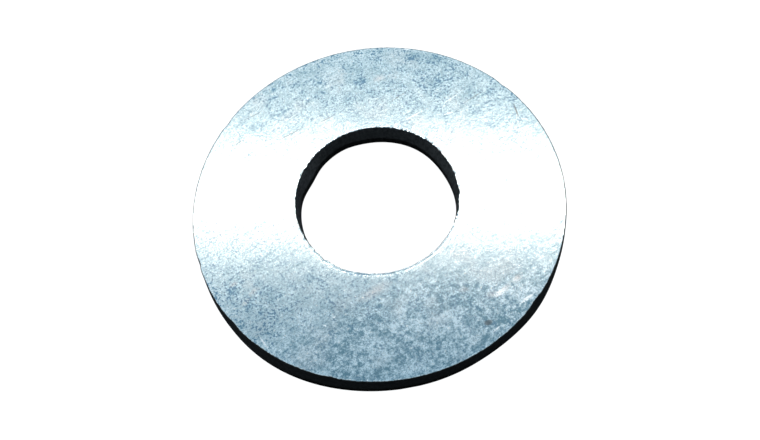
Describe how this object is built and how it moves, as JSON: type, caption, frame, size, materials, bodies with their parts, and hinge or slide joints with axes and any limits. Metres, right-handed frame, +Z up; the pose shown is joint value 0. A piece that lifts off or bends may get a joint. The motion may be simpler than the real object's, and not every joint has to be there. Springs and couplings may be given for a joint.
{
  "type": "flat washer",
  "caption": "Large flat washer of zinc-plated steel: a flat ring that spreads the load of a bolt head or nut over the work.",
  "frame": {"origin": "on the bore's axis, in the lower face, the one that rests on the work", "axes": "+Z up along the bore, out of the upper face, on the breakout side; X and Y are any two directions in the lower face, because the washer is round"},
  "size_m": [0.04, 0.04, 0.003],
  "materials": {
    "zinc_plated_steel": "bright zinc plating with a blue passivate, mottled and fine-grained, darker on the sheared walls"
  },
  "bodies": {
    "root": {"flat_washer": "zinc_plated_steel"}
  },
  "joints": []
}
